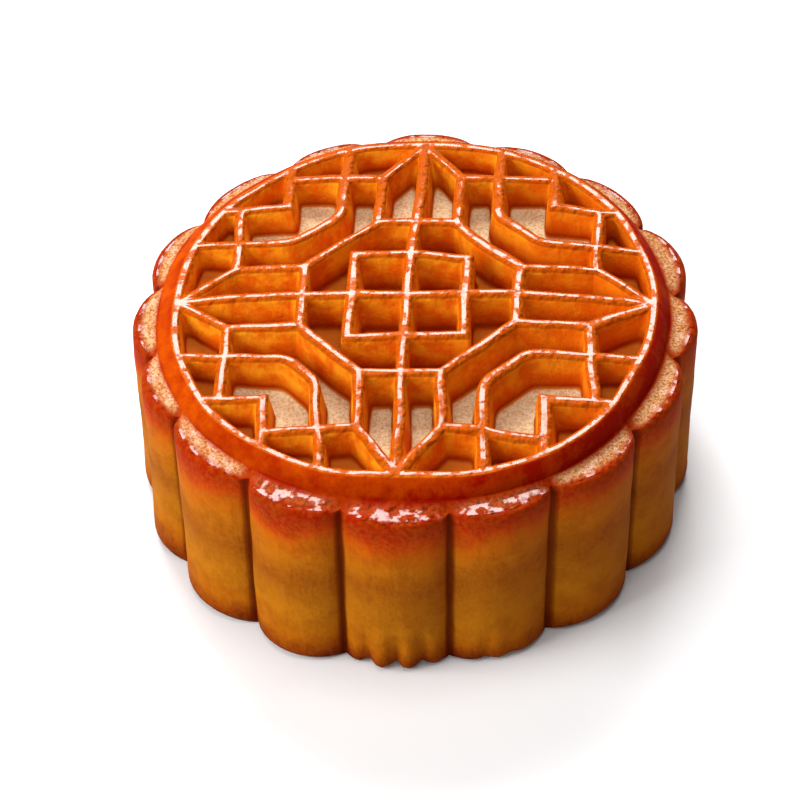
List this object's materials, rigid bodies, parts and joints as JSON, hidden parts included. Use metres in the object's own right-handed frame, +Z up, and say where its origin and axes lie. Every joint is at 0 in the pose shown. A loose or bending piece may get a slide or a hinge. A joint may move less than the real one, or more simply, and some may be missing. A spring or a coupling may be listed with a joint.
{
  "type": "mooncake",
  "caption": "Round baked mooncake with a scalloped side, a narrow shoulder and a raised disc pressed with a deep geometric relief of thin ridges.",
  "frame": {"origin": "middle of the flat base", "axes": "+Z up through the middle of the cake; X and Y along the cross of the relief"},
  "size_m": [0.0701, 0.0696, 0.0306],
  "materials": {
    "crust": "egg-washed baked pastry, golden brown on the ridges, redder in the folds and pale and matt on the recess floors and the shoulder"
  },
  "bodies": {
    "root": {"mooncake": "crust"}
  },
  "joints": []
}
